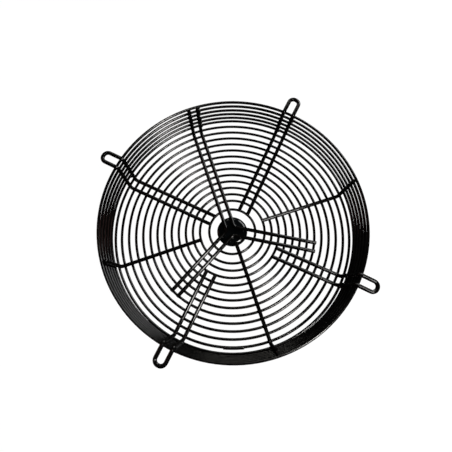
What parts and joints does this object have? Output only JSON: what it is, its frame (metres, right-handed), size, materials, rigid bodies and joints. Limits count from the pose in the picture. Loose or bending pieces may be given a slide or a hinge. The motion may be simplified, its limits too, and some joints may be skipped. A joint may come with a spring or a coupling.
{
  "type": "fan guard",
  "caption": "Round welded wire basket guard for an axial fan, with concentric rings, a raised wall, a hub plate, straight support wires and looped mounting arms.",
  "frame": {"origin": "on the axis of the rings, at the underside of the face rings, with the guard lying on its face", "axes": "+Z along the axis from the face towards the open mouth, +X through the mounting loop of one short arm, +Y through the mounting loop of one long arm"},
  "size_m": [0.4224, 0.4224, 0.0735],
  "materials": {
    "coated_ring_wire": "gloss",
    "coated_support_wire": "gloss",
    "coated_plate": "gloss"
  },
  "bodies": {
    "root": {"hub_plate": "coated_plate", "face_ring_01": "coated_ring_wire", "face_ring_02": "coated_ring_wire", "face_ring_03": "coated_ring_wire", "face_ring_04": "coated_ring_wire", "face_ring_05": "coated_ring_wire", "face_ring_06": "coated_ring_wire", "face_ring_07": "coated_ring_wire", "face_ring_08": "coated_ring_wire", "face_ring_09": "coated_ring_wire", "face_ring_10": "coated_ring_wire", "face_ring_11": "coated_ring_wire", "face_ring_12": "coated_ring_wire", "face_ring_13": "coated_ring_wire", "corner_ring": "coated_ring_wire", "wall_ring_1": "coated_ring_wire", "wall_ring_2": "coated_ring_wire", "wall_ring_3": "coated_ring_wire", "wall_ring_4": "coated_ring_wire", "wall_ring_5": "coated_ring_wire", "mouth_ring": "coated_ring_wire", "short_arm_right": "coated_support_wire", "long_arm_back": "coated_support_wire", "long_arm_left": "coated_support_wire", "short_arm_front": "coated_support_wire", "outer_spoke_right": "coated_support_wire", "outer_spoke_left": "coated_support_wire", "hub_spoke": "coated_support_wire", "star_wire_left": "coated_support_wire", "star_wire_front": "coated_support_wire", "star_wire_right": "coated_support_wire"}
  },
  "joints": []
}
